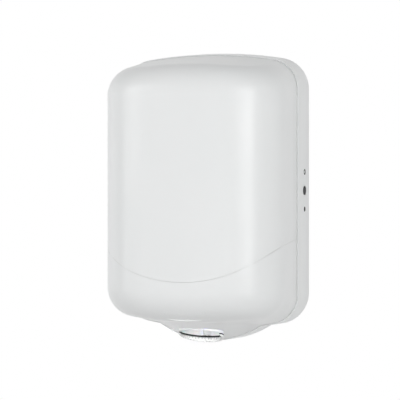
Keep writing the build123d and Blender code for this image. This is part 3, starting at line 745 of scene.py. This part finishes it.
class DISPENSER_OT_stage(bpy.types.Operator):
    """Set up the floor, the lamps, the sky and the camera"""
    bl_idname = "dispenser.stage"
    bl_label = "Stage"

    def execute(self, context):
        settings = context.scene.dispenser_stage
        self.add_floor(settings)
        self.add_sky(context.scene, settings)
        inside_outlet = Vector((6, -93, -198)) * millimetre
        # Name, azimuth, elevation, distance, size, power, and where they differ, aim and spread
        for lamp in (
            ("Right lamp", 51, 8, 2.2, (0.7, 1.8), settings.right_power),
            ("Near right lamp", 35, 12, 2.2, (0.4, 1.6), settings.near_right_power),
            ("Left lamp", -41, 18, 2.2, (0.7, 1.4), settings.left_power),
            ("Far left lamp", -60, 8, 2.2, (0.5, 1.8), settings.far_left_power),
            ("Low lamp", 5, -12, 2.4, (1.6, 0.5), settings.low_power),
            ("Low left lamp", -22, -10, 2.2, (0.9, 0.3), settings.low_left_power),
            ("Under lamp", 0, -55, 0.7, (0.6, 0.4), settings.under_power),
            ("Side lamp", -100, 5, 2.2, (1.2, 1.8), settings.side_power),
            ("Outlet lamp", 14, -4, 1.2, (0.05, 0.02), settings.outlet_power, inside_outlet, 5),
        ):
            self.add_lamp(*lamp)
        self.add_camera(context.scene, settings)
        context.scene.view_settings.view_transform = "Standard"
        return {"FINISHED"}

    def seen(self, tree):
        """1 for what the camera, a reflection or glass sees, and 0 for light thrown on things."""
        rays = add_node(tree, "ShaderNodeLightPath").outputs
        seen = rays["Is Camera Ray"]
        for kind in ("Is Glossy Ray", "Is Transmission Ray"):
            seen = add_node(tree, "ShaderNodeMath", {0: seen, 1: rays[kind]},
                            operation="MAXIMUM").outputs[0]
        return seen

    def add_floor(self, settings):
        """Pale floor that throws light back, and is plain white to the camera as the sky is."""
        half, low = settings.floor_size / 2, -settings.floor_drop
        mesh = bpy.data.meshes.new("Floor")
        mesh.from_pydata(
            [(-half, -half, low), (half, -half, low), (half, half, low), (-half, half, low)],
            [], [(0, 1, 2, 3)],
        )
        material, tree = new_material("Pale floor")
        matt = add_node(tree, "ShaderNodeBsdfDiffuse", {"Color": settings.floor_colour})
        glow = add_node(tree, "ShaderNodeEmission", {"Color": linear("FFFFFF"), "Strength": 1.0})
        mix = add_node(tree, "ShaderNodeMixShader", {
            0: self.seen(tree), 1: matt.outputs[0], 2: glow.outputs[0],
        })
        add_node(tree, "ShaderNodeOutputMaterial", {"Surface": mix.outputs[0]})
        mesh.materials.append(material)
        floor = bpy.data.objects.new("Floor", mesh)
        bpy.context.scene.collection.objects.link(floor)

    def add_sky(self, scene, settings):
        """Even light from all round; white where the camera or a reflection sees it."""
        world = bpy.data.worlds.new("Studio sky")
        scene.world = world
        world.use_nodes = True
        tree = world.node_tree
        tree.nodes.clear()
        strength = add_node(tree, "ShaderNodeMapRange", {
            "Value": self.seen(tree), "To Min": settings.sky_strength, "To Max": 1.0,
        })
        light = add_node(tree, "ShaderNodeBackground", {
            "Color": linear("FFFFFF"), "Strength": strength.outputs["Result"],
        })
        add_node(tree, "ShaderNodeOutputWorld", {"Surface": light.outputs["Background"]})

    def add_lamp(self, name, azimuth, elevation, distance, size, power, aim=(0, 0, 0), spread=180):
        """Soft box that looks at its aim; a grid narrows its spread.

        Azimuth 0 is straight ahead of the object and 90 is to its right. Angles are in degrees,
        and distance and size in metres.
        """
        turn, rise = radians(azimuth), radians(elevation)
        away = Vector((sin(turn) * cos(rise), -cos(turn) * cos(rise), sin(rise)))
        data = bpy.data.lights.new(name, "AREA")
        data.shape = "RECTANGLE"
        data.size, data.size_y = size
        data.energy = power
        data.spread = radians(spread)
        lamp = bpy.data.objects.new(name, data)
        lamp.location = Vector(aim) + away * distance
        lamp.rotation_euler = (-away).to_track_quat("-Z", "Y").to_euler()
        bpy.context.scene.collection.objects.link(lamp)

    def add_camera(self, scene, settings):
        """Camera at the photograph's place, level and turned to the object's right."""
        data = bpy.data.cameras.new("Camera")
        data.lens = settings.camera_lens
        data.shift_y = settings.frame_rise
        camera = bpy.data.objects.new("Camera", data)
        camera.location = (settings.camera_x, settings.camera_y, settings.camera_z)
        camera.rotation_euler = (pi / 2, 0.0, settings.camera_turn)
        scene.collection.objects.link(camera)
        scene.camera = camera


class DISPENSER_PT_panel(bpy.types.Panel):
    """Lists the dispenser's pieces"""
    bl_label = "Dispenser"
    bl_idname = "DISPENSER_PT_panel"
    bl_space_type = "VIEW_3D"
    bl_region_type = "UI"
    bl_category = "Dispenser"

    def draw(self, context):
        for operator in operators:
            self.layout.operator(operator.bl_idname)


operators = (
    DISPENSER_OT_covers,
    DISPENSER_OT_outlet,
    DISPENSER_OT_inside,
    DISPENSER_OT_screws,
    DISPENSER_OT_lock,
    DISPENSER_OT_stage,
)
classes = (FinishColours, DetailSizes, StageSettings, *operators, DISPENSER_PT_panel)


def register():
    for cls in classes:
        bpy.utils.register_class(cls)
    bpy.types.Scene.dispenser_colours = bpy.props.PointerProperty(type=FinishColours)
    bpy.types.Scene.dispenser_details = bpy.props.PointerProperty(type=DetailSizes)
    bpy.types.Scene.dispenser_stage = bpy.props.PointerProperty(type=StageSettings)


def unregister():
    del bpy.types.Scene.dispenser_stage
    del bpy.types.Scene.dispenser_details
    del bpy.types.Scene.dispenser_colours
    for cls in reversed(classes):
        bpy.utils.unregister_class(cls)


def main():
    register()
    bpy.ops.dispenser.covers()
    bpy.ops.dispenser.outlet()
    bpy.ops.dispenser.inside()
    bpy.ops.dispenser.screws()
    bpy.ops.dispenser.lock()
    bpy.ops.dispenser.stage()


if __name__ == "__main__":
    main()
